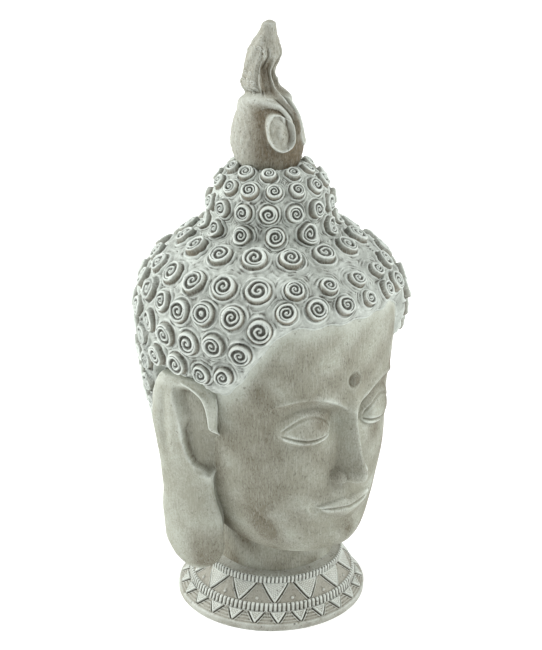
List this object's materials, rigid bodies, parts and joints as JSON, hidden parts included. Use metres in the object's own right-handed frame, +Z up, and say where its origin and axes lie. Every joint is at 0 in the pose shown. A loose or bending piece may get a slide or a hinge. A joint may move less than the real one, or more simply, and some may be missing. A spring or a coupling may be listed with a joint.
{
  "type": "buddha head garden statue",
  "caption": "Cast garden statue: a calm buddha head with snail-shell curls, topknot, flame finial and long ear lobes, on a round patterned collar with a flat underside.",
  "frame": {"origin": "middle of the flat underside of the collar foot", "axes": "+Z up along the statue, the face looks along -Y, +X is the statue's left side"},
  "size_m": [0.1742, 0.1788, 0.38],
  "materials": {
    "whitewashed_cast": "matte cast body, whitewashed, grey-beige where brushed thin, with dark dirt in the grooves"
  },
  "bodies": {
    "root": {"buddha_head": "whitewashed_cast"}
  },
  "joints": []
}
